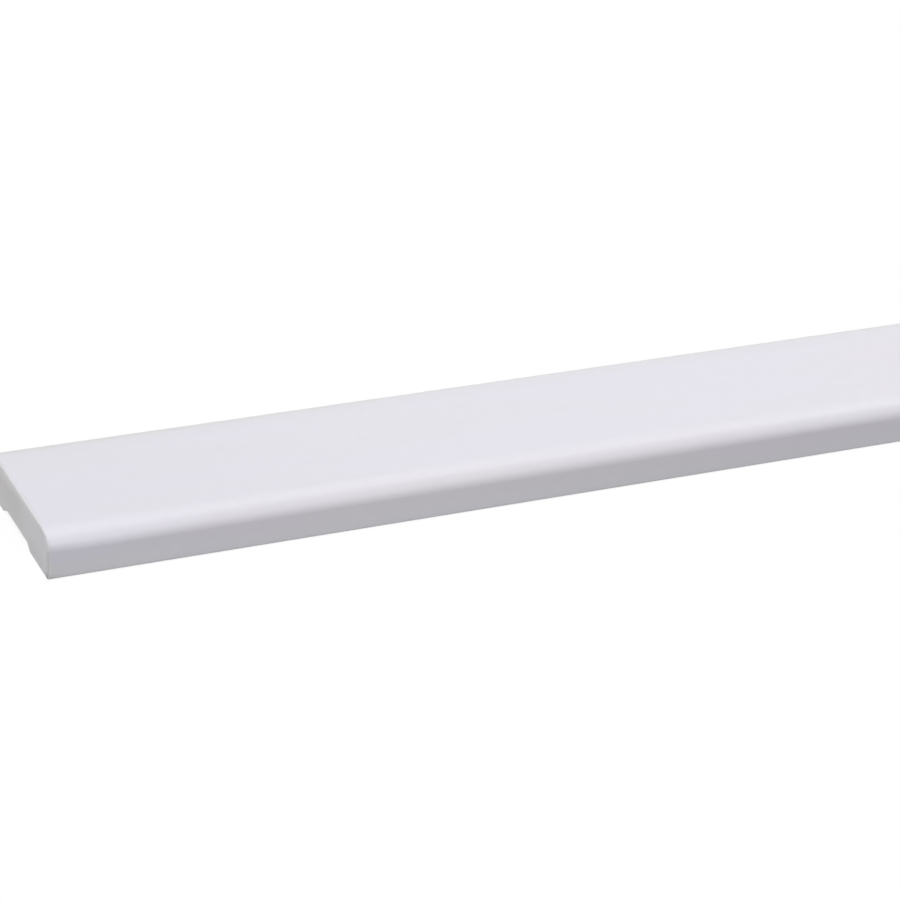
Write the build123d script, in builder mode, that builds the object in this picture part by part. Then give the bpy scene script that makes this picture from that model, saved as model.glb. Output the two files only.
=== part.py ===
from build123d import *
import math
import os

# A white-coated trim strip, one piece of stock, lying show face up on the two lands of its back.
# X runs along the length, Y from the soft nose to the plainer back edge, and Z up.
# The origin is the middle of the footprint. All sizes are in millimetres and degrees.

# Overall size
length = 2400
width = 60
thickness = 15

# Soft nose, two arcs that flow into each other and turn a quarter circle together,
# from the level show face to the upright front edge
nose_upper_radius = 20
nose_lower_radius = 5
nose_upper_turn = 15
nose_lower_turn = 90 - nose_upper_turn

# Small rounds on the other long edges
back_edge_radius = 3
foot_radius = 1

# Relief, a shallow channel along the back that leaves two lands to bear on the wall
front_land = 18.5
front_slope_run = 2.5
back_slope_run = 4
back_land = 14
relief_depth = 2
relief_corner_radius = 1

# The upper arc leaves the show face this far in from the front edge
nose_reach = nose_lower_radius + (nose_upper_radius - nose_lower_radius) * math.sin(
    math.radians(nose_upper_turn)
)
# The lower arc meets the front edge this far below the show face
nose_drop = nose_upper_radius - (nose_upper_radius - nose_lower_radius) * math.cos(
    math.radians(nose_upper_turn)
)

# Section plane at the left end: its x runs from the front edge to the back edge, its y up
left_end = Plane(origin=(-length / 2, -width / 2, 0), x_dir=(0, 1, 0), z_dir=(1, 0, 0))

with BuildPart() as trim_strip:
    with BuildSketch(left_end):
        with BuildLine():
            # From the foot of the nose round the back of the strip to the show face
            FilletPolyline(
                (0, thickness - nose_drop),
                (0, 0),
                (front_land, 0),
                (front_land + front_slope_run, relief_depth),
                (width - back_land - back_slope_run, relief_depth),
                (width - back_land, 0),
                (width, 0),
                (width, thickness),
                (nose_reach, thickness),
                radius=[
                    foot_radius,
                    relief_corner_radius,
                    relief_corner_radius,
                    relief_corner_radius,
                    relief_corner_radius,
                    foot_radius,
                    back_edge_radius,
                ],
            )
            # The nose, from the show face down to the front edge
            upper_arc = JernArc(
                start=(nose_reach, thickness),
                tangent=(-1, 0),
                radius=nose_upper_radius,
                arc_size=nose_upper_turn,
            )
            JernArc(
                start=upper_arc @ 1,
                tangent=upper_arc % 1,
                radius=nose_lower_radius,
                arc_size=nose_lower_turn,
            )
        make_face()
    extrude(amount=length)

trim_strip.part.label = "trim_strip"

os.makedirs("parts", exist_ok=True)
export_step(trim_strip.part, "parts/trim_strip.step")
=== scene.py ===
import functools
import math

import bmesh
import bpy
from bpy.props import FloatProperty, FloatVectorProperty, IntProperty, PointerProperty
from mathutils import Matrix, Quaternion, Vector


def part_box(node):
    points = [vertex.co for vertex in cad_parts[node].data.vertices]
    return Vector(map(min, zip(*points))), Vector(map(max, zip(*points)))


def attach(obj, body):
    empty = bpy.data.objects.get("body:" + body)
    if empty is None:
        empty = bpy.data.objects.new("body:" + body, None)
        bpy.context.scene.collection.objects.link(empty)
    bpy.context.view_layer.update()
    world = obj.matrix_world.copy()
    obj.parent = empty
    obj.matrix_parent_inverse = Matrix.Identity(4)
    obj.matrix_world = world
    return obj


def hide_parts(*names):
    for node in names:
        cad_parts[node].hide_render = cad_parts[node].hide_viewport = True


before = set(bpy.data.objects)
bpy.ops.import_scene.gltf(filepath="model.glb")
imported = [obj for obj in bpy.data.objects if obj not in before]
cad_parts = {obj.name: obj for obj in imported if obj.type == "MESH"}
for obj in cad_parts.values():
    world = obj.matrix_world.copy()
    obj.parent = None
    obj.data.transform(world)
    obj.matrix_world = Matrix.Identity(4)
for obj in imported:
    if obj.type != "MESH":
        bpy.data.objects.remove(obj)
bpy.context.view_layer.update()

bl_info = {
    "name": "White Trim Strip",
    "version": (1, 0, 0),
    "blender": (4, 5, 0),
    "location": "3D View > Sidebar > Trim Strip",
    "description": "Moulds a white coated trim strip and sets the stage that it is shown on",
    "category": "Mesh",
}

STRIP_NODE = "trim_strip"
WHITE = (1.0, 1.0, 1.0)
LENGTHWISE = (1, 0, 0)
# Corners of the section that are closer than this, in metres, are one corner.
SAME_PLACE = 1e-6
# A flat face of a sawn end has a normal with more than this share of it along the strip.
END_SQUARENESS = 0.999
# This attribute is 1 on the outline of those flat faces and 0 elsewhere.
RIM = "rim"
# The strip's coats, numbered in the order in which it gets them.
FACE_COAT = 0
END_COAT = 1
BACK_COAT = 2
# A face whose normal is within this of the length wears the end's coat, and of straight down the back's.
END_TILT = math.radians(40)
BACK_TILT = math.radians(60)
# Noise stays between these, apart from rare peaks.
NOISE_RANGE = (0.3, 0.7)
# How many finer layers a noise has over its own blots.
SMOOTH = 0
SOFT = 1
PLAIN = 2
FINE = 3
CRISP = 6
# How far apart the ridges of a wave are at a scale of 1.
WAVE_PITCH = math.tau / 20
# Each pattern is moved by its own step, in metres, so that no two of them line up.
FRONT_SHADE_SHIFT = (0.32, 0, 0)
RAGGED_SHIFT = (0, 0.01, 0)
BLOT_SHIFT = (0, 0.004, 0)


def length_size(name, description, metres):
    """A length that a user can change."""
    return FloatProperty(
        name=name, description=description, default=metres, min=0, precision=5, unit="LENGTH"
    )


def angle_size(name, description, degrees):
    """An angle that a user can change."""
    return FloatProperty(
        name=name, description=description, default=math.radians(degrees), subtype="ANGLE"
    )


def share(name, description, value):
    """A plain number from 0 to 1 that a user can change."""
    return FloatProperty(name=name, description=description, default=value, min=0, max=1)


def lengths(name, description, first, last):
    """Two lengths, such as where a fade starts and where it ends, that a user can change."""
    return FloatVectorProperty(
        name=name, description=description, default=(first, last), size=2, precision=5, unit="LENGTH"
    )


def levels(name, description, first, last):
    """Two plain numbers, such as the ends of a range, that a user can change."""
    return FloatVectorProperty(
        name=name, description=description, default=(first, last), size=2, precision=3
    )


def factor(name, description, value):
    """A plain number that a user can change."""
    return FloatProperty(name=name, description=description, default=value, min=0)


def lamp_strength(name, description, strength):
    """The strength of a lamp, in watts for each square metre that it shines on."""
    return FloatProperty(name=name, description=description, default=strength, min=0)


def tint(name, description, colour):
    """A colour that a user can change, as linear red, green and blue."""
    return FloatVectorProperty(
        name=name, description=description, default=colour, min=0, max=1, size=3, subtype="COLOR"
    )


class StripSizes(bpy.types.PropertyGroup):
    """The section of the strip, beside the length, width and thickness of the frame"""

    nose_upper_radius: length_size(
        "Upper Nose Radius", "Radius of the arc that leaves the show face", 0.020
    )
    nose_lower_radius: length_size(
        "Lower Nose Radius", "Radius of the arc that meets the front edge", 0.005
    )
    nose_upper_turn: angle_size(
        "Upper Nose Turn", "How far the upper arc turns before the lower one takes over", 15
    )
    back_edge_radius: length_size(
        "Back Edge Radius", "Round between the show face and the back edge", 0.003
    )
    foot_radius: length_size("Foot Radius", "Round at the foot of both long edges", 0.001)
    front_land: length_size(
        "Front Land", "Width of the land under the nose, from the front edge", 0.0185
    )
    front_slope_run: length_size(
        "Front Slope", "Width of the slope from the front land up into the relief", 0.0025
    )
    back_slope_run: length_size(
        "Back Slope", "Width of the slope from the relief down to the back land", 0.004
    )
    back_land: length_size("Back Land", "Width of the land under the back edge", 0.014)
    relief_depth: length_size("Relief Depth", "Depth of the channel along the back", 0.002)
    relief_corner_radius: length_size(
        "Relief Corner Radius", "Round at the corners of the relief", 0.001
    )
    end_arris: length_size("End Arris", "Width of the fine rounds round both sawn ends", 0.0002)
    end_rim: length_size("End Rim", "Width of the rim of each sawn end, where its coat is worn", 0.0007)
    end_arris_facets: IntProperty(
        name="End Arris Facets", description="Facets across each fine round", default=3, min=1
    )
    facet_turn: angle_size("Facet Turn", "Most that one facet of a rounded stretch turns", 3)


class CoatLook(bpy.types.PropertyGroup):
    """Colours and gloss of the white coat, some of them painted light and shade"""

    cool_white: tint("Cool White", "The coat where it leans to blue", (0.785, 0.773, 0.846))
    plain_white: tint("Plain White", "The coat where it is nearly neutral", (0.790, 0.775, 0.818))
    nose_tint: tint("Nose Tint", "What the nose takes away from the coat's colour", (1.0, 0.988, 1.0))
    foot_white: tint("Foot White", "The coat low on the front edge", (0.786, 0.781, 0.814))
    # Painted shade: the show face darker towards the back edge
    back_shaded_white: tint(
        "Edge White", "The coat where it draws thin towards the back edge", (0.772, 0.766, 0.800)
    )
    # Painted highlight: a lighter line on the front edge beside each sawn end, where its fine round catches
    # the light
    highlight_white: tint("Fat White", "The coat where it stands thick beside an arris", (0.822, 0.816, 0.850))
    # Worn coat by the sawn ends, a dark line beside each front arris, and painted shade along the foot and
    # the back edge
    worn_and_shaded_white: tint("Thin White", "The satin coat where it is worn thin", (0.682, 0.668, 0.672))
    end_cool: tint("Cool End", "Coat on the sawn end, towards the front", (0.805, 0.800, 0.838))
    end_warm: tint("Warm End", "Coat on the sawn end, towards the back", (0.778, 0.764, 0.765))
    # Painted light under the top arris of each end, and coat gathered over the relief
    end_bright: tint("Fat End", "Coat that has gathered beside an arris", (0.895, 0.878, 0.888))
    # Painted light on the end inside its rounded nose
    end_nose_light: tint("End Nose", "Coat that has gathered in the nose of the end", (0.905, 0.898, 0.938))
    # The end darker along its front arris, and where its low rim is worn
    end_dark: tint("Thin End", "The end's coat where it is worn thin", (0.668, 0.664, 0.693))
    # Painted shade in the foot of the front arris, where the end meets the floor
    corner_shade: tint("Corner Grey", "Dust held by the foot of the front arris", (0.44, 0.43, 0.45))
    back_white: tint("Back White", "The plainer coat on the back", (0.735, 0.725, 0.745))
    back_grey: tint("Back Grey", "The back where it is scuffed", (0.680, 0.668, 0.672))
    face_roughness: share("Face Roughness", "Roughness of the satin show face and edges", 0.36)
    end_roughness: share("End Roughness", "Roughness of the coated sawn ends", 0.55)
    back_roughness: share("Back Roughness", "Roughness of the back", 0.50)


class FaceMarks(bpy.types.PropertyGroup):
    """Marks in the satin coat, some of them painted light and shade: how coarse they are, where they fade
    and how deep they go
    """

    drift: length_size("Drift", "Blots where the coat is bluer or plainer", 0.045)
    drift_stretch: factor("Drift Stretch", "How far the blots are drawn out along the strip", 5)
    drift_rise: levels("Drift Rise", "Noise that is all blue, and noise that is all plain", 0.42, 0.66)
    mottle: length_size("Mottle", "Fine unevenness of its tone", 0.005)
    mottle_tone: levels("Mottle Tone", "Darkest and lightest of it", 0.988, 1.0)
    # Painted shade towards the back edge
    back_shade_reach: lengths("Back Thinning", "It draws thin, from the back edge", 0.002, 0.011)
    nose_rise: lengths("Nose Rise", "The tint of the nose sets in, from the floor", 0.002, 0.007)
    nose_top: lengths("Nose Top", "It fades into the show face, from the top", 0.0, 0.0015)
    nose_on_face: share("Nose On Face", "What is left of that tint on the show face", 0.2)
    low_front: lengths("Low Front", "The low front edge is plainer, from the floor", 0.004, 0.007)
    low_front_run: lengths("Low Front Run", "From there on less so, from the end", 0.02, 0.05)
    low_front_share: levels("Low Front Share", "How much, by the end and farther in", 0.8, 0.3)
    # Painted shade: the show face darker within 0.16 m of each end
    end_shade: lengths("Handled", "The ends have dulled from handling, from the end", 0.0, 0.16)
    end_shade_face: lengths("Handled Face", "Where that starts, from the front edge", 0.005, 0.009)
    end_shade_tone: levels("Handled Tone", "What it does to the nose and to the show face", 1.0, 0.976)
    # Painted shade: long stretches of the front edge and lower nose that are darker
    front_shade_stretch: length_size("Lean Stretch", "Long stretches of leaner coat on the front edge", 0.32)
    front_shade_tone: levels("Lean Tone", "Tone of the leanest and the fullest coat", 0.94, 1.004)
    front_shade_fade: lengths("Lean Fade", "They fade up the nose, from its foot", 0.0, 0.0045)
    # The lower nose is darker within about 12 mm of each end
    darker: lengths("Rubbed", "The lower nose is rubbed, from the end", 0.003, 0.012)
    lower_nose_tone: share("Rubbed Tone", "Tone of the rubbed coat", 0.94)
    lower_nose_foot: lengths("Rubbed Foot", "The rubbing sets in, from the foot of the nose", 0.0, 0.0005)
    lower_nose_top: lengths("Rubbed Top", "The rubbing ends, from the foot of the nose", 0.0022, 0.0034)
    # Painted highlight beside the front arris of each end, fainter up the nose
    highlight_line: lengths("Fat Line", "Thick coat beside the front arris, from the end", 0.0007, 0.0011)
    highlight_height: lengths("Fat Height", "It is thinner above this, from the floor", 0.005, 0.007)
    highlight_above: share("Fat Above", "What is left of it above", 0.25)
    nose_end: lengths("Nose End", "Front marks give way to those on top, from the nose's foot", 0.0, 0.001)
    top_wear: lengths("Top Wear", "Worn line on the show face, from the end", 0.0003, 0.0009)
    top_wear_share: share("Top Wear Share", "How worn it is", 0.55)
    ragged: length_size("Ragged", "How coarsely that line is ragged", 0.009)
    ragged_width: levels("Ragged Width", "How narrow and how wide it gets", 0.7, 2.2)
    # A dark line on the front edge beside each sawn end
    front_dark_reach: lengths("Front Wear", "Worn line on the front edge, from the end", 0.00015, 0.00035)
    # Painted shade along the foot of the front edge, by the floor, strongest near each end
    foot_line_shade: lengths("Foot Wear", "Worn line along the foot, from the floor", 0.0012, 0.0026)
    foot_line_shade_run: lengths("Foot Wear Run", "From there on less so, from the end", 0.0, 0.006)
    foot_line_shade_share: levels("Foot Wear Share", "How worn, by the end and farther in", 0.8, 0.12)
    # Painted shade: a darker line along the back edge, strongest near each end
    back_line_shade: lengths("Back Wear", "Worn line along the back edge, from it", 0.0023, 0.0053)
    back_line_shade_run: lengths("Back Wear Run", "From there on less so, from the end", 0.0, 0.2)
    back_line_shade_share: levels("Back Wear Share", "How worn, by the end and farther in", 0.65, 0.12)
    gloss_drift: length_size("Gloss Drift", "How coarsely the gloss varies", 0.012)
    gloss_spread: share("Gloss Spread", "How far the roughness varies to either side", 0.03)
    wave_width: length_size("Wave Width", "Soft waves along the strip", 0.003)
    wave_stretch: factor("Wave Stretch", "How far they are drawn out", 17)
    wave_depth: length_size("Wave Depth", "How deep they are", 0.000030)
    fibre_width: length_size("Fibre Width", "Fibres that show through the coat", 0.0006)
    fibre_stretch: factor("Fibre Stretch", "How far they are drawn out", 80)
    fibre_depth: length_size("Fibre Depth", "How deep they are", 0.000004)
    peel_size: length_size("Peel Size", "Ripples of the sprayed coat", 0.0014)
    peel_depth: length_size("Peel Depth", "How deep they are", 0.000006)


class EndMarks(bpy.types.PropertyGroup):
    """Marks in the coat of both sawn ends, some of them painted light and shade"""

    blot: length_size("Blot", "Blots where the coat is cooler or warmer", 0.014)
    blot_rise: levels("Blot Rise", "Noise that is all cool, and noise that is all warm", 0.35, 0.65)
    blot_lean: lengths("Blot Lean", "From cooler to warmer, from the front edge", 0.008, 0.044)
    blot_lean_step: share("Blot Lean Step", "How strong that lean is", 0.16)
    mottle: length_size("Mottle", "Fine unevenness of its tone", 0.0016)
    mottle_tone: levels("Mottle Tone", "Darkest and lightest of it", 0.975, 1.0)
    # Painted light and shade: near the front edge the end is lighter at the top and darker at its foot
    light_upwards: lengths("Upwards", "From its tone at the foot to that at the top", 0.001, 0.010)
    foot_run: lengths("Foot Run", "The tone at the foot changes, from the front edge", 0.014, 0.024)
    foot_tone: levels("Foot Tone", "Tone at the foot, by the front edge and farther in", 0.972, 1.005)
    top_run: lengths("Top Run", "The tone at the top changes, from the front edge", 0.016, 0.036)
    top_tone: levels("Top Tone", "Tone at the top, by the front edge and farther in", 1.03, 0.985)
    # Painted light under the top arris of each end
    brightened: lengths("Gathered", "Coat gathered under the top arris sets in, from the front", 0.008, 0.018)
    top_light_run: lengths("Gathered Run", "It reaches farther down, from the front", 0.034, 0.043)
    top_light_reach: lengths("Gathered Reach", "How far down it reaches there", 0.0014, 0.0027)
    top_light_fade: levels("Gathered Fade", "Shares of that reach between which it fades", 0.1, 1.9)
    # Painted light on the end, inside the outline of the nose
    nose_light_reach: lengths("Nose Gathered", "Coat gathered in the nose, from its outline", 0.0, 0.0038)
    nose_light_share: share("Nose Gathered Share", "How thick it is", 0.9)
    nose_light_foot: lengths("Nose Gathered Foot", "It sets in, from the nose's foot", -0.0002, 0.0019)
    nose_light_end: lengths("Nose Gathered End", "It thins out, from the front edge", 0.0035, 0.0065)
    relief_line: lengths("Relief Line", "Coat gathered over the relief, from the floor", 0.0025, 0.0047)
    relief_line_start: lengths("Relief Line Start", "It sets in, from the front edge", 0.018, 0.023)
    relief_line_end: lengths("Relief Line End", "It gets fainter, from the front edge", 0.031, 0.036)
    relief_line_share: levels("Relief Line Share", "How thick it is before and after", 0.45, 0.2)
    frayed: length_size("Frayed", "How coarsely the worn line is frayed", 0.0025)
    frayed_width: levels("Frayed Width", "How narrow and how wide it gets", 0.7, 1.4)
    # A dark line down the front arris on each end
    front_dark_reach: lengths("Front Wear", "Worn line down the front arris, from the front", 0.0007, 0.0025)
    front_dark_taper: lengths("Front Wear Taper", "It narrows, from the foot of the nose", -0.0015, 0.0018)
    front_dark_tip: share("Front Wear Tip", "Share of its width at the top", 0.35)
    front_dark_top: lengths("Front Wear Top", "Its top, from the foot of the nose", 0.0012, 0.0020)
    rim_rise: levels("Rim Rise", "Where wear sets in across the rim, from 0 within to 1 outside", 0.3, 0.8)
    rim_wear: share("Rim Wear", "How worn the rim is low down", 0.25)
    rim_wear_top: lengths("Rim Wear Top", "It gets less, from the foot of the nose", -0.0065, 0.0)
    patchy: length_size("Patchy", "How coarsely the wear and the gloss vary", 0.003)
    patchy_wear: levels("Patchy Wear", "Least and most of that wear", 0.75, 1.0)
    # Painted shade in the corner where the front arris meets the floor
    corner: lengths("Corner", "Dust in the foot of the front arris, from its corner", 0.0006, 0.0030)
    corner_shade_blot: length_size("Corner Blot", "How coarsely its outline varies", 0.004)
    corner_shade_width: levels("Corner Width", "How narrow and how wide it gets", 0.85, 1.2)
    gloss_spread: share("Gloss Spread", "How far the roughness varies to either side", 0.05)
    saw_centre: lengths("Saw Centre", "Centre of the saw's arcs, across from the middle and up", -0.02, 0.14)
    saw_pitch: length_size("Saw Pitch", "From one saw mark to the next", 0.0011)
    saw_beat: factor("Saw Beat", "Marks between two that are deeper", 2.7)
    saw_wander: levels("Saw Wander", "How far the marks and the deeper ones wander", 2.0, 3.0)
    saw_depth: length_size("Saw Depth", "How deep they are", 0.000030)
    saw_patch: length_size("Saw Patch", "Patches where they are fainter", 0.009)
    saw_faintness: levels("Saw Faintness", "Least and most that shows of them", 0.2, 1.0)
    pore_size: length_size("Pore Size", "Pores of the sawn end", 0.0005)
    pore_depth: length_size("Pore Depth", "How deep they are", 0.000010)


class BackMarks(bpy.types.PropertyGroup):
    """Marks in the coat of the back"""

    scuff: length_size("Scuff", "Scuffs on the back", 0.012)
    scuff_rise: levels("Scuff Rise", "Noise that is clean, and noise that is all scuffed", 0.53, 0.67)
    stretch: factor("Stretch", "How far scuffs and gloss are drawn out along the strip", 7)
    fibre_width: length_size("Fibre Width", "Fibres that show through the coat", 0.0009)
    fibre_stretch: factor("Fibre Stretch", "How far they are drawn out", 50)
    fibre_depth: length_size("Fibre Depth", "How deep they are", 0.000030)
    fibre_tone: levels("Fibre Tone", "Darkest and lightest of them", 0.96, 1.0)
    gloss_drift: length_size("Gloss Drift", "How coarsely the gloss varies", 0.02)
    gloss_spread: share("Gloss Spread", "How far the roughness varies to either side", 0.06)
    planer_pitch: length_size("Planer Pitch", "From one planer mark to the next", 0.0017)
    planer_wander: factor("Planer Wander", "How far the marks wander", 1.5)
    planer_depth: length_size("Planer Depth", "How deep they are", 0.000015)
    planer_patch: length_size("Planer Patch", "Patches where they are fainter", 0.014)
    planer_faintness: levels("Planer Faintness", "Least and most that shows of them", 0.1, 1.0)


class StageSetup(bpy.types.PropertyGroup):
    """Camera, floor and lamps"""

    lens: FloatProperty(
        name="Lens", description="Focal length on a 36 mm sensor", default=121.905, unit="CAMERA"
    )
    view_azimuth: angle_size("Azimuth", "Heading of the view, from +Y towards +X", 27.5926)
    view_elevation: angle_size("Elevation", "How far the view looks down", 28.5759)
    view_roll: angle_size("Roll", "Turn of the camera about its own axis", 5.3525)
    view_distance: length_size("Distance", "From the camera to the point it looks at", 1.025944)
    aim_along: length_size("Aim Along", "That point's distance from the left end", 0.146744)
    aim_in: length_size("Aim In", "That point's distance from the front edge", 0.016849)
    floor_reach: length_size("Floor Reach", "Half the width of the floor", 60.0)
    floor_grey: share("Floor Grey", "How much of the light the floor gives back", 0.5)
    floor_white: share("Floor White", "Share of plain white in what shows of the floor", 0.85)
    floor_glow: FloatProperty(
        name="Floor Glow", description="Brightness of that plain white", default=1.01, min=0
    )
    world_strength: share("World", "Plain light from all round", 0.25)
    key_strength: lamp_strength("Key", "Soft light from high over the front and the left end", 1.88)
    key_spread: angle_size("Key Spread", "How wide that light is, seen from the strip", 33)
    key_azimuth: angle_size("Key Azimuth", "Where it stands, from +Y towards +X", 238)
    key_elevation: angle_size("Key Elevation", "How high it stands", 69.5)
    rim_strength: lamp_strength("Rim", "Light from behind, which shines on the nose", 0.346)
    rim_spread: angle_size("Rim Spread", "How wide that light is, seen from the strip", 37)
    rim_azimuth: angle_size("Rim Azimuth", "Where it stands, from +Y towards +X", 43)
    rim_elevation: angle_size("Rim Elevation", "How high it stands", 49)
    fill_strength: lamp_strength("Fill", "Weak light from the front", 0.314)
    fill_spread: angle_size("Fill Spread", "How wide that light is, seen from the strip", 29)
    fill_azimuth: angle_size("Fill Azimuth", "Where it stands, from +Y towards +X", 162)
    fill_elevation: angle_size("Fill Elevation", "How high it stands", 36)


class SectionPen:
    """Draws the strip's section in the plane of its left end, as straight runs and round turns"""

    def __init__(self, mesh, start, heading, facet_turn):
        self.mesh = mesh
        self.heading = heading
        self.facet_turn = facet_turn
        self.tip = mesh.verts.new(start)

    def run(self, length):
        """Draw a straight run on from the tip."""
        drawn = bmesh.ops.extrude_vert_indiv(self.mesh, verts=[self.tip])
        self.tip = drawn["verts"][0]
        bmesh.ops.translate(self.mesh, verts=[self.tip], vec=self.heading * length)

    def turn(self, radius, angle):
        """Draw an arc on from the tip, to the left for a positive angle and else to the right."""
        left = Vector((0, -self.heading.z, self.heading.y))
        spun = bmesh.ops.spin(
            self.mesh,
            geom=[self.tip],
            cent=self.tip.co + left * math.copysign(radius, angle),
            axis=LENGTHWISE,
            angle=angle,
            steps=math.ceil(abs(angle) / self.facet_turn),
            use_duplicate=False,
        )
        self.tip = spun["geom_last"][0]
        self.heading = Quaternion(LENGTHWISE, angle) @ self.heading


def corner_cut(radius, angle):
    """How much of each straight run a round corner takes."""
    return radius * math.tan(abs(angle) / 2)


def nose_reach(sizes):
    """How far in from the front edge the nose meets the flat of the show face."""
    extra = sizes.nose_upper_radius - sizes.nose_lower_radius
    return sizes.nose_lower_radius + extra * math.sin(sizes.nose_upper_turn)


def nose_drop(sizes):
    """How far below the show face the nose meets the front edge."""
    extra = sizes.nose_upper_radius - sizes.nose_lower_radius
    return sizes.nose_upper_radius - extra * math.cos(sizes.nose_upper_turn)


def draw_section(mesh, low, high, sizes):
    """Draw the outline of the section at the left end, from the front edge round the back."""
    width = high.y - low.y
    thickness = high.z - low.z
    quarter = math.pi / 2
    foot = sizes.foot_radius
    corner = sizes.relief_corner_radius
    depth = sizes.relief_depth
    front_slope = math.atan2(depth, sizes.front_slope_run)
    back_slope = math.atan2(depth, sizes.back_slope_run)
    front_cut = corner_cut(corner, front_slope)
    back_cut = corner_cut(corner, back_slope)
    relief = (
        width - sizes.front_land - sizes.front_slope_run - sizes.back_slope_run - sizes.back_land
    )

    top_of_front = Vector((low.x, low.y, high.z - nose_drop(sizes)))
    pen = SectionPen(mesh, top_of_front, Vector((0, 0, -1)), sizes.facet_turn)
    pen.run(thickness - nose_drop(sizes) - foot)
    pen.turn(foot, quarter)
    pen.run(sizes.front_land - foot - front_cut)
    pen.turn(corner, front_slope)
    pen.run(math.hypot(depth, sizes.front_slope_run) - 2 * front_cut)
    pen.turn(corner, -front_slope)
    pen.run(relief - front_cut - back_cut)
    pen.turn(corner, -back_slope)
    pen.run(math.hypot(depth, sizes.back_slope_run) - 2 * back_cut)
    pen.turn(corner, back_slope)
    pen.run(sizes.back_land - back_cut - foot)
    pen.turn(foot, quarter)
    pen.run(thickness - foot - sizes.back_edge_radius)
    pen.turn(sizes.back_edge_radius, quarter)
    pen.run(width - sizes.back_edge_radius - nose_reach(sizes))
    pen.turn(sizes.nose_upper_radius, sizes.nose_upper_turn)
    pen.turn(sizes.nose_lower_radius, quarter - sizes.nose_upper_turn)


def mark_rims(mesh, width):
    """Cut a rim into the flat face of both sawn ends, marked from 1 at its outline to 0 within."""
    ends = [face for face in mesh.faces if abs(face.normal.x) > END_SQUARENESS]
    rims = bmesh.ops.inset_region(mesh, faces=ends, thickness=width, use_even_offset=True)
    outermost = mesh.verts.layers.float.new(RIM)
    for faces, level in ((rims["faces"], 1.0), (ends, 0.0)):
        for face in faces:
            for corner in face.verts:
                corner[outermost] = level


def put_in_order(mesh):
    """Number the corners, edges and faces by where they lie, so that every run gives the same mesh."""
    places = (
        (mesh.verts, lambda corner: corner.co[:]),
        (mesh.edges, lambda edge: (edge.verts[0].co + edge.verts[1].co)[:]),
        (mesh.faces, lambda face: face.calc_center_median()[:]),
    )
    for parts, place in places:
        for number, part in enumerate(sorted(parts, key=place)):
            part.index = number
        parts.sort()


def strip_mesh(low, high, sizes):
    """Mould the strip: its section, drawn out to the full length, with fine rounds at both ends."""
    mesh = bmesh.new()
    draw_section(mesh, low, high, sizes)
    bmesh.ops.remove_doubles(mesh, verts=mesh.verts, dist=SAME_PLACE)
    section = bmesh.ops.edgeloop_fill(mesh, edges=mesh.edges)["faces"]
    drawn = bmesh.ops.extrude_face_region(mesh, geom=section, use_keep_orig=True)
    far_end = [part for part in drawn["geom"] if isinstance(part, bmesh.types.BMVert)]
    bmesh.ops.translate(mesh, verts=far_end, vec=(high.x - low.x, 0, 0))
    bmesh.ops.recalc_face_normals(mesh, faces=mesh.faces)
    across = [edge for edge in mesh.edges if edge.verts[0].co.x == edge.verts[1].co.x]
    bmesh.ops.bevel(
        mesh,
        geom=across,
        offset=sizes.end_arris,
        offset_type="OFFSET",
        affect="EDGES",
        segments=sizes.end_arris_facets,
        profile=0.5,
    )
    mark_rims(mesh, sizes.end_rim)
    put_in_order(mesh)
    return mesh


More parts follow.
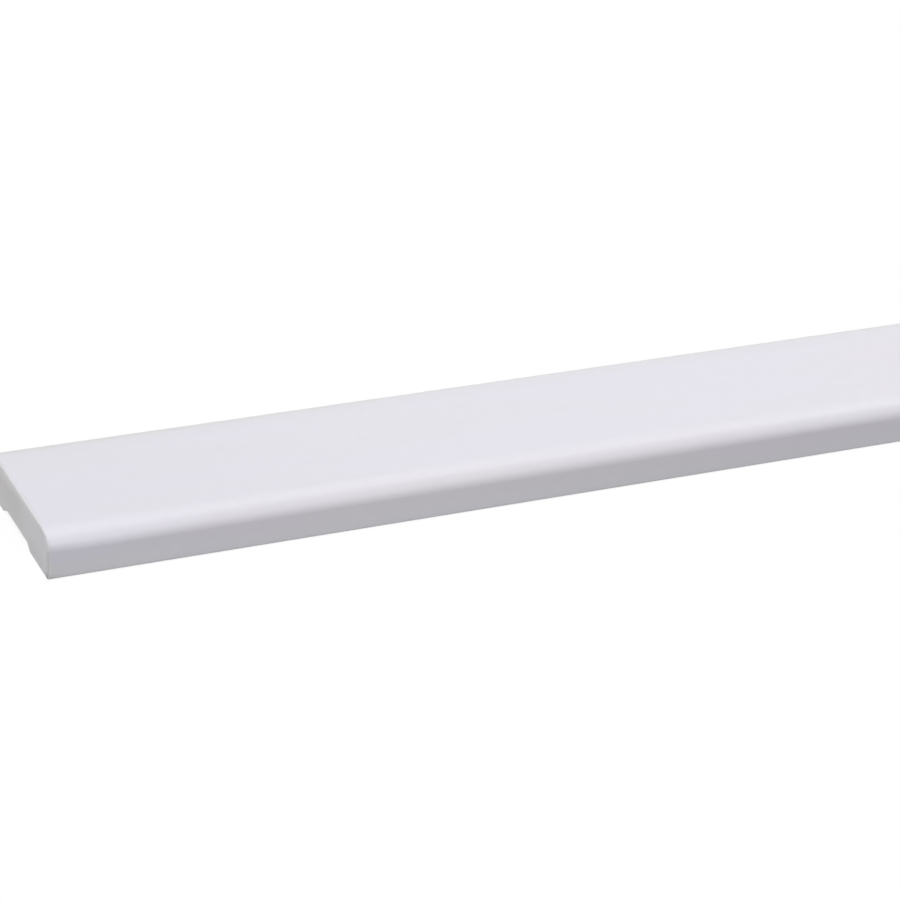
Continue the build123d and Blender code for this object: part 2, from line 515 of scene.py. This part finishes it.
class ShaderNodes:
    """Adds shader nodes to a material or a world, each fed from the nodes before it"""

    def __init__(self, owner):
        owner.use_nodes = True
        self.owner = owner
        self.tree = owner.node_tree
        self.tree.nodes.clear()

    def add(self, kind, feeds=None, **settings):
        """Add a node. A feed is a value for one of its sockets, or the socket that leads into it."""
        node = self.tree.nodes.new("ShaderNode" + kind)
        for setting, value in settings.items():
            setattr(node, setting, value)
        for socket, value in (feeds or {}).items():
            self.feed(node.inputs[socket], value)
        return node

    def feed(self, socket, value):
        """Lead another socket into a socket, or set it to a plain value."""
        if isinstance(value, bpy.types.NodeSocket):
            self.tree.links.new(value, socket)
        else:
            socket.default_value = value

    def math(self, operation, first, second=0.0):
        """Add a Math node and return its result."""
        return self.add("Math", {0: first, 1: second}, operation=operation).outputs[0]

    def place(self, stretch=1.0, shift=(0, 0, 0)):
        """The place on the strip, in metres, for a pattern drawn out along it or moved."""
        here = self.add("TexCoord").outputs["Object"]
        feeds = {"Vector": here, "Location": shift, "Scale": (1 / stretch, 1, 1)}
        return self.add("Mapping", feeds).outputs["Vector"]

    def along(self, axis):
        """The place on the strip along one axis, in metres."""
        here = self.add("TexCoord").outputs["Object"]
        return self.add("SeparateXYZ", {"Vector": here}).outputs[axis]

    def noise(self, place, size, detail=PLAIN):
        """Noise with blots of about the given size, in metres."""
        feeds = {"Vector": place, "Scale": 1 / size, "Detail": detail}
        return self.add("TexNoise", feeds).outputs["Fac"]

    def wave(self, place, pitch, kind, distortion):
        """Soft ridges at a pitch in metres, straight across the length or in rings about it."""
        feeds = {"Vector": place, "Scale": WAVE_PITCH / pitch, "Distortion": distortion}
        return self.add("TexWave", feeds, wave_type=kind).outputs["Fac"]

    def ramp(self, value, low, high, at_low=0.0, at_high=1.0):
        """Carry a value smoothly from one range to another, held at its ends."""
        feeds = {"Value": value, "From Min": low, "From Max": high, "To Min": at_low, "To Max": at_high}
        return self.add("MapRange", feeds, interpolation_type="SMOOTHSTEP").outputs["Result"]

    def vary(self, noise, least, most):
        """Spread a noise over a range of values."""
        return self.ramp(noise, *NOISE_RANGE, least, most)

    def fade_out(self, distance, span):
        """1 up to the start of a fade, and 0 past its end."""
        return self.ramp(distance, *span, 1.0, 0.0)

    def product(self, *values):
        """Multiply values."""
        return functools.reduce(lambda first, second: self.math("MULTIPLY", first, second), values)

    def most(self, *values):
        """The largest of some values."""
        return functools.reduce(lambda first, second: self.math("MAXIMUM", first, second), values)

    def diagonal(self, across, up):
        """How far away a place is that lies so far across and so far up."""
        squares = (self.math("MULTIPLY", side, side) for side in (across, up))
        return self.math("SQRT", self.math("ADD", *squares))

    def uneven_gloss(self, noise, roughness, spread):
        """A roughness that varies with a noise, to either side of its own value."""
        return self.vary(noise, roughness - spread, roughness + spread)

    def mix(self, amount, first, second, blend="MIX"):
        """Mix an amount of a second colour into a first one."""
        node = self.add("Mix", data_type="RGBA", blend_type=blend)
        amount_socket, first_socket, second_socket = (
            socket for socket in node.inputs if socket.enabled
        )
        self.feed(amount_socket, amount)
        self.feed(first_socket, first)
        self.feed(second_socket, second)
        return next(socket for socket in node.outputs if socket.enabled)

    def shade(self, colour, level):
        """Bring a colour to a share of its own brightness."""
        return self.add("HueSaturation", {"Color": colour, "Value": level}).outputs["Color"]

    def bump(self, height, depth, onto=None):
        """Raise the surface by a height from 0 to 1 times a depth in metres, over an earlier bump."""
        feeds = {"Height": height, "Distance": depth, "Strength": 1.0}
        if onto:
            feeds["Normal"] = onto
        return self.add("Bump", feeds).outputs["Normal"]

    def surface(self, colour, roughness, normal):
        """Finish the material with a coat of that colour, roughness and relief."""
        feeds = {"Base Color": colour, "Roughness": roughness, "Normal": normal}
        coat = self.add("BsdfPrincipled", feeds).outputs["BSDF"]
        self.add("OutputMaterial", {"Surface": coat})
        return self.owner


def opaque(colour):
    """A colour with the fourth value that a socket wants."""
    return (*colour, 1.0)


class StripPlace:
    """Where a point of the strip lies, in metres from the strip's edges"""

    def __init__(self, nodes, low, high, nose_foot):
        along = nodes.along("X")
        across = nodes.along("Y")
        up = nodes.along("Z")
        self.height = nodes.math("SUBTRACT", up, low.z)
        self.over_nose_foot = nodes.math("SUBTRACT", up, nose_foot)
        self.from_top = nodes.math("SUBTRACT", high.z, up)
        self.from_front = nodes.math("SUBTRACT", across, low.y)
        self.from_back = nodes.math("SUBTRACT", high.y, across)
        self.from_end = nodes.math("SUBTRACT", high.x, nodes.math("ABSOLUTE", along))


def face_tint(nodes, look, marks, at):
    """The colour of the satin coat: its drift, painted shade towards the back edge, and where it has another
    tint.
    """
    blots = nodes.noise(nodes.place(stretch=marks.drift_stretch), marks.drift)
    drift = nodes.ramp(blots, *marks.drift_rise)
    colour = nodes.mix(drift, opaque(look.cool_white), opaque(look.plain_white))
    # Painted shade towards the back edge
    back_edge_shade = nodes.fade_out(at.from_back, marks.back_shade_reach)
    colour = nodes.mix(back_edge_shade, colour, opaque(look.back_shaded_white))

    nose = nodes.product(
        nodes.ramp(at.height, *marks.nose_rise),
        nodes.ramp(at.from_top, *marks.nose_top, marks.nose_on_face, 1.0),
    )
    colour = nodes.mix(nose, colour, opaque(look.nose_tint), "MULTIPLY")

    low_front = nodes.product(
        nodes.fade_out(at.height, marks.low_front),
        nodes.ramp(at.from_end, *marks.low_front_run, *marks.low_front_share),
    )
    return nodes.mix(low_front, colour, opaque(look.foot_white))


def face_tone(nodes, marks, at):
    """How dark the satin coat is: mottled, with painted shade on the show face near each end and in long
    stretches of the front edge, and darker on the lower nose by each end.
    """
    mottle = nodes.vary(nodes.noise(nodes.place(), marks.mottle, FINE), *marks.mottle_tone)

    # Painted shade on the show face near each end, not on the nose
    darkened = nodes.ramp(at.from_front, *marks.end_shade_face, *marks.end_shade_tone)
    end_shade = nodes.ramp(at.from_end, *marks.end_shade, darkened, 1.0)

    # Painted shade in long stretches of the front edge and lower nose, fading out up the nose
    lean = nodes.noise(nodes.place(shift=FRONT_SHADE_SHIFT), marks.front_shade_stretch, SMOOTH)
    lean = nodes.vary(lean, *marks.front_shade_tone)
    lean = nodes.ramp(at.over_nose_foot, *marks.front_shade_fade, lean, 1.0)

    # The lower nose darker near each end, from just above its foot to about 3 mm up
    darker = nodes.ramp(at.from_end, *marks.darker, marks.lower_nose_tone, 1.0)
    darker = nodes.ramp(at.over_nose_foot, *marks.lower_nose_top, darker, 1.0)
    darker = nodes.ramp(at.over_nose_foot, *marks.lower_nose_foot, 1.0, darker)
    return nodes.product(mottle, end_shade, lean, darker)


def face_wear_and_shade(nodes, marks, at):
    """Where the satin coat is worn thin along the sawn ends, with a dark line down each front arris, and
    painted shade along the foot and the back edge.
    """
    ragged = nodes.vary(nodes.noise(nodes.place(shift=RAGGED_SHIFT), marks.ragged), *marks.ragged_width)
    on_top = nodes.fade_out(nodes.math("DIVIDE", at.from_end, ragged), marks.top_wear)
    on_top = nodes.product(on_top, marks.top_wear_share)
    # A dark line on the front edge beside each sawn end
    front_dark_line = nodes.fade_out(at.from_end, marks.front_dark_reach)
    at_end = nodes.ramp(at.over_nose_foot, *marks.nose_end, front_dark_line, on_top)
    # Painted shade along the foot, where the front edge meets the floor
    shade_at_foot = nodes.product(
        nodes.fade_out(at.height, marks.foot_line_shade),
        nodes.ramp(at.from_end, *marks.foot_line_shade_run, *marks.foot_line_shade_share),
    )
    # Painted shade: a darker line along the back edge
    back_line = nodes.product(
        nodes.fade_out(at.from_back, marks.back_line_shade),
        nodes.ramp(at.from_end, *marks.back_line_shade_run, *marks.back_line_shade_share),
    )
    return nodes.most(at_end, shade_at_foot, back_line)


def face_coat(look, marks, low, high, nose_foot):
    """The satin coat of the show face, the nose and both long edges."""
    nodes = ShaderNodes(bpy.data.materials.new("satin_white_coat"))
    at = StripPlace(nodes, low, high, nose_foot)
    colour = nodes.shade(face_tint(nodes, look, marks, at), face_tone(nodes, marks, at))

    # Painted highlight: a lighter line on the front edge beside each sawn end
    painted_highlight = nodes.fade_out(at.from_end, marks.highlight_line)
    painted_highlight = nodes.ramp(at.height, *marks.highlight_height, painted_highlight, nodes.product(painted_highlight, marks.highlight_above))
    painted_highlight = nodes.ramp(at.over_nose_foot, *marks.nose_end, painted_highlight, 0.0)
    colour = nodes.mix(painted_highlight, colour, opaque(look.highlight_white))
    # Worn coat by the ends, a dark line down each front arris, and painted shade along the foot and the back
    # edge
    colour = nodes.mix(face_wear_and_shade(nodes, marks, at), colour, opaque(look.worn_and_shaded_white))

    gloss_drift = nodes.noise(nodes.place(stretch=marks.drift_stretch), marks.gloss_drift)
    roughness = nodes.uneven_gloss(gloss_drift, look.face_roughness, marks.gloss_spread)

    waves = nodes.noise(nodes.place(stretch=marks.wave_stretch), marks.wave_width, SOFT)
    relief = nodes.bump(waves, marks.wave_depth)
    fibres = nodes.noise(nodes.place(stretch=marks.fibre_stretch), marks.fibre_width)
    relief = nodes.bump(fibres, marks.fibre_depth, relief)
    peel = nodes.noise(nodes.place(), marks.peel_size, SOFT)
    relief = nodes.bump(peel, marks.peel_depth, relief)
    return nodes.surface(colour, roughness, relief)


def end_tint(nodes, look, marks, at):
    """The colour of the coat on a sawn end, with its blots and its tone, and painted light that makes it
    lighter towards the top and darker at the foot.
    """
    blots = nodes.noise(nodes.place(shift=BLOT_SHIFT), marks.blot)
    step = marks.blot_lean_step
    lean = nodes.math("ADD", blots, nodes.ramp(at.from_front, *marks.blot_lean, -step, step))
    warm = nodes.ramp(lean, *marks.blot_rise)
    colour = nodes.mix(warm, opaque(look.end_cool), opaque(look.end_warm))

    mottle = nodes.vary(nodes.noise(nodes.place(), marks.mottle, FINE), *marks.mottle_tone)
    # Painted light and shade from the foot of the end to its top
    shade_at_foot = nodes.ramp(at.from_front, *marks.foot_run, *marks.foot_tone)
    light_at_top = nodes.ramp(at.from_front, *marks.top_run, *marks.top_tone)
    light_upwards = nodes.ramp(at.height, *marks.light_upwards, shade_at_foot, light_at_top)
    return nodes.shade(colour, nodes.product(mottle, light_upwards))


def end_brightened(nodes, look, marks, at, colour, nose_radius):
    """The colour of a sawn end's coat with painted light in the nose and under the top arris, and a lighter
    line of gathered coat over the relief.
    """
    past_centre = nodes.math("SUBTRACT", at.from_front, nose_radius)
    from_nose = nodes.math("SUBTRACT", nose_radius, nodes.diagonal(past_centre, at.over_nose_foot))
    # Painted light in the nose of the end
    nose_light_mask = nodes.product(
        nodes.fade_out(from_nose, marks.nose_light_reach),
        nodes.ramp(at.over_nose_foot, *marks.nose_light_foot),
        nodes.ramp(at.from_front, *marks.nose_light_end, marks.nose_light_share, 0.0),
    )
    colour = nodes.mix(nose_light_mask, colour, opaque(look.end_nose_light))

    # Painted light under the top arris
    reach = nodes.ramp(at.from_front, *marks.top_light_run, *marks.top_light_reach)
    light_under_top = nodes.product(
        nodes.fade_out(nodes.math("DIVIDE", at.from_top, reach), marks.top_light_fade),
        nodes.ramp(at.from_front, *marks.brightened),
    )
    thick, thin = marks.relief_line_share
    over_relief = nodes.ramp(at.from_front, *marks.relief_line_start, 0.0, thick)
    over_relief = nodes.ramp(at.from_front, *marks.relief_line_end, over_relief, thin)
    over_relief = nodes.product(over_relief, nodes.fade_out(at.height, marks.relief_line))
    brightened = nodes.most(light_under_top, over_relief)
    return nodes.mix(brightened, colour, opaque(look.end_bright))


def end_wear_and_shade(nodes, look, marks, at, colour):
    """The colour of a sawn end's coat with a dark line down its front arris, its low rim worn thin and
    painted shade in the foot of its front corner.
    """
    frayed = nodes.vary(nodes.noise(nodes.place(), marks.frayed), *marks.frayed_width)
    taper = nodes.ramp(at.over_nose_foot, *marks.front_dark_taper, 1.0, marks.front_dark_tip)
    frayed_front = nodes.math("DIVIDE", at.from_front, nodes.product(frayed, taper))
    # A dark line down the front arris, narrowing up the nose
    front_arris_line = nodes.product(
        nodes.fade_out(frayed_front, marks.front_dark_reach),
        nodes.fade_out(at.over_nose_foot, marks.front_dark_top),
    )
    rim = nodes.add("Attribute", attribute_name=RIM).outputs["Fac"]
    at_rim = nodes.ramp(rim, *marks.rim_rise, 0.0, marks.rim_wear)
    at_rim = nodes.ramp(at.over_nose_foot, *marks.rim_wear_top, at_rim, 0.0)
    patchy = nodes.vary(nodes.noise(nodes.place(), marks.patchy), *marks.patchy_wear)
    # That dark line, and the low rim where the coat is worn
    worn = nodes.product(nodes.most(front_arris_line, at_rim), patchy)
    colour = nodes.mix(worn, colour, opaque(look.end_dark))

    # Painted shade in the foot of the front corner
    outline = nodes.noise(nodes.place(), marks.corner_shade_blot, SMOOTH)
    outline = nodes.vary(outline, *marks.corner_shade_width)
    from_corner = nodes.math("DIVIDE", nodes.diagonal(at.from_front, at.height), outline)
    corner_shade_mask = nodes.fade_out(from_corner, marks.corner)
    return nodes.mix(corner_shade_mask, colour, opaque(look.corner_shade))


def saw_marks(nodes, marks):
    """The arcs that the saw has left on an end, some deeper and some patches fainter."""
    across, up = marks.saw_centre
    round_saw = nodes.place(shift=(0, -across, -up))
    wander, wander_deep = marks.saw_wander
    pitch = marks.saw_pitch
    patches = nodes.noise(nodes.place(), marks.saw_patch)
    return nodes.product(
        nodes.wave(round_saw, pitch, "RINGS", distortion=wander),
        nodes.wave(round_saw, pitch * marks.saw_beat, "RINGS", distortion=wander_deep),
        nodes.vary(patches, *marks.saw_faintness),
    )


def end_coat(look, marks, low, high, nose_foot, nose_radius):
    """The thinner coat over both sawn ends, with faint saw marks and open pores under it."""
    nodes = ShaderNodes(bpy.data.materials.new("coated_sawn_end"))
    at = StripPlace(nodes, low, high, nose_foot)
    colour = end_tint(nodes, look, marks, at)
    colour = end_brightened(nodes, look, marks, at, colour, nose_radius)
    colour = end_wear_and_shade(nodes, look, marks, at, colour)

    gloss_drift = nodes.noise(nodes.place(), marks.patchy)
    roughness = nodes.uneven_gloss(gloss_drift, look.end_roughness, marks.gloss_spread)

    relief = nodes.bump(saw_marks(nodes, marks), marks.saw_depth)
    pores = nodes.noise(nodes.place(), marks.pore_size)
    relief = nodes.bump(pores, marks.pore_depth, relief)
    return nodes.surface(colour, roughness, relief)


def back_coat(look, marks):
    """The plainer coat on the lands and in the relief, over faint planer marks."""
    nodes = ShaderNodes(bpy.data.materials.new("plain_back_coat"))
    drawn_out = nodes.place(stretch=marks.stretch)
    scuffs = nodes.ramp(nodes.noise(drawn_out, marks.scuff, CRISP), *marks.scuff_rise)
    colour = nodes.mix(scuffs, opaque(look.back_white), opaque(look.back_grey))
    fibres = nodes.noise(nodes.place(stretch=marks.fibre_stretch), marks.fibre_width, FINE)
    colour = nodes.shade(colour, nodes.vary(fibres, *marks.fibre_tone))

    gloss_drift = nodes.noise(drawn_out, marks.gloss_drift)
    roughness = nodes.uneven_gloss(gloss_drift, look.back_roughness, marks.gloss_spread)

    planer_marks = nodes.product(
        nodes.wave(nodes.place(), marks.planer_pitch, "BANDS", distortion=marks.planer_wander),
        nodes.vary(nodes.noise(drawn_out, marks.planer_patch), *marks.planer_faintness),
    )
    relief = nodes.bump(planer_marks, marks.planer_depth)
    relief = nodes.bump(fibres, marks.fibre_depth, relief)
    return nodes.surface(colour, roughness, relief)


def coat_of(face):
    """Which of the strip's three coats a face wears."""
    if abs(face.normal.x) > math.cos(END_TILT):
        return END_COAT
    if -face.normal.z > math.cos(BACK_TILT):
        return BACK_COAT
    return FACE_COAT


class TRIM_OT_strip(bpy.types.Operator):
    """Mould the trim strip in place of the plain one of the frame"""

    bl_idname = "trim.strip"
    bl_label = "Trim Strip"

    def execute(self, context):
        scene = context.scene
        look = scene.coat_look
        low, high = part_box(STRIP_NODE)
        nose_radius = scene.strip_sizes.nose_lower_radius
        nose_foot = high.z - nose_drop(scene.strip_sizes)
        mould = strip_mesh(low, high, scene.strip_sizes)
        for face in mould.faces:
            face.material_index = coat_of(face)
        mesh = bpy.data.meshes.new("moulded_strip")
        mould.to_mesh(mesh)
        mould.free()
        mesh.shade_smooth()
        mesh.materials.append(face_coat(look, scene.face_marks, low, high, nose_foot))
        mesh.materials.append(end_coat(look, scene.end_marks, low, high, nose_foot, nose_radius))
        mesh.materials.append(back_coat(look, scene.back_marks))
        strip = bpy.data.objects.new("moulded_strip", mesh)
        scene.collection.objects.link(strip)
        even = strip.modifiers.new("Flat faces stay flat", "WEIGHTED_NORMAL")
        even.mode = "FACE_AREA"
        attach(strip, "root")
        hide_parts(STRIP_NODE)
        return {"FINISHED"}


def direction(azimuth, elevation):
    """The direction towards an azimuth, turned from +Y to +X, and an elevation above the floor."""
    level = math.cos(elevation)
    return Vector((math.sin(azimuth) * level, math.cos(azimuth) * level, math.sin(elevation)))


def add_sun(name, strength, spread, azimuth, elevation):
    """Add a soft lamp that stands that way, far off, and so lights the whole strip evenly."""
    lamp = bpy.data.lights.new(name, "SUN")
    lamp.energy = strength
    lamp.angle = spread
    source = bpy.data.objects.new(name, lamp)
    source.rotation_euler = direction(azimuth, elevation).to_track_quat("Z", "Y").to_euler()
    bpy.context.scene.collection.objects.link(source)


def seen_directly(nodes):
    """1 for a ray that shows the background itself, through the camera, a gloss or a glass."""
    path = nodes.add("LightPath").outputs
    seen = nodes.math("ADD", path["Is Camera Ray"], path["Is Glossy Ray"])
    return nodes.math("MINIMUM", nodes.math("ADD", seen, path["Is Transmission Ray"]), 1.0)


def floor_material(stage):
    """A matt floor that shows as white and keeps the strip's shadow."""
    nodes = ShaderNodes(bpy.data.materials.new("pale_floor"))
    grey = opaque([stage.floor_grey] * 3)
    lit = nodes.add("BsdfDiffuse", {"Color": grey}).outputs["BSDF"]
    shadowed = nodes.add("BsdfDiffuse", {"Color": opaque(WHITE)}).outputs["BSDF"]
    white = nodes.add("Emission", {"Strength": stage.floor_glow}).outputs["Emission"]
    feeds = {0: stage.floor_white, 1: shadowed, 2: white}
    shown = nodes.add("MixShader", feeds).outputs["Shader"]
    floor = nodes.add("MixShader", {0: seen_directly(nodes), 1: lit, 2: shown})
    nodes.add("OutputMaterial", {"Surface": floor.outputs["Shader"]})
    return nodes.owner


def studio_world(stage):
    """Plain light from all round, which shows as white."""
    nodes = ShaderNodes(bpy.data.worlds.new("studio"))
    strength = nodes.ramp(seen_directly(nodes), 0.0, 1.0, stage.world_strength, 1.0)
    feeds = {"Color": opaque(WHITE), "Strength": strength}
    light = nodes.add("Background", feeds).outputs["Background"]
    nodes.add("OutputWorld", {"Surface": light})
    return nodes.owner


class TRIM_OT_stage(bpy.types.Operator):
    """Set the floor, the soft light and the camera"""

    bl_idname = "trim.stage"
    bl_label = "Stage"

    def execute(self, context):
        scene = context.scene
        stage = scene.stage_setup
        low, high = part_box(STRIP_NODE)

        ground = bmesh.new()
        bmesh.ops.create_grid(ground, x_segments=1, y_segments=1, size=stage.floor_reach)
        mesh = bpy.data.meshes.new("floor")
        ground.to_mesh(mesh)
        ground.free()
        mesh.materials.append(floor_material(stage))
        floor = bpy.data.objects.new("floor", mesh)
        scene.collection.objects.link(floor)

        scene.world = studio_world(stage)
        for lamp in ("key", "rim", "fill"):
            strength, spread, azimuth, elevation = (
                getattr(stage, f"{lamp}_{value}")
                for value in ("strength", "spread", "azimuth", "elevation")
            )
            add_sun(lamp, strength, spread, azimuth, elevation)

        camera = bpy.data.cameras.new("camera")
        camera.lens = stage.lens
        viewer = bpy.data.objects.new("camera", camera)
        scene.collection.objects.link(viewer)
        aim = Vector((low.x + stage.aim_along, low.y + stage.aim_in, high.z))
        forward = direction(stage.view_azimuth, -stage.view_elevation)
        upright = forward.to_track_quat("-Z", "Y")
        viewer.rotation_mode = "QUATERNION"
        viewer.rotation_quaternion = upright @ Quaternion((0, 0, 1), stage.view_roll)
        viewer.location = aim - forward * stage.view_distance
        scene.camera = viewer
        scene.view_settings.view_transform = "Standard"
        return {"FINISHED"}


class TRIM_PT_sidebar(bpy.types.Panel):
    """Lists the strip and its stage"""

    bl_idname = "TRIM_PT_sidebar"
    bl_label = "Trim Strip"
    bl_space_type = "VIEW_3D"
    bl_region_type = "UI"
    bl_category = "Trim Strip"

    def draw(self, context):
        for operator in (TRIM_OT_strip, TRIM_OT_stage):
            self.layout.operator(operator.bl_idname)


GROUPS = {
    "strip_sizes": StripSizes,
    "coat_look": CoatLook,
    "face_marks": FaceMarks,
    "end_marks": EndMarks,
    "back_marks": BackMarks,
    "stage_setup": StageSetup,
}
CLASSES = (*GROUPS.values(), TRIM_OT_strip, TRIM_OT_stage, TRIM_PT_sidebar)


def register():
    """Add the settings, the operators and the panel."""
    for kind in CLASSES:
        bpy.utils.register_class(kind)
    for name, group in GROUPS.items():
        setattr(bpy.types.Scene, name, PointerProperty(type=group))


def unregister():
    """Take them away again."""
    for name in GROUPS:
        delattr(bpy.types.Scene, name)
    for kind in reversed(CLASSES):
        bpy.utils.unregister_class(kind)


def main():
    """Make the strip and its stage."""
    register()
    bpy.ops.trim.strip()
    bpy.ops.trim.stage()


if __name__ == "__main__":
    main()
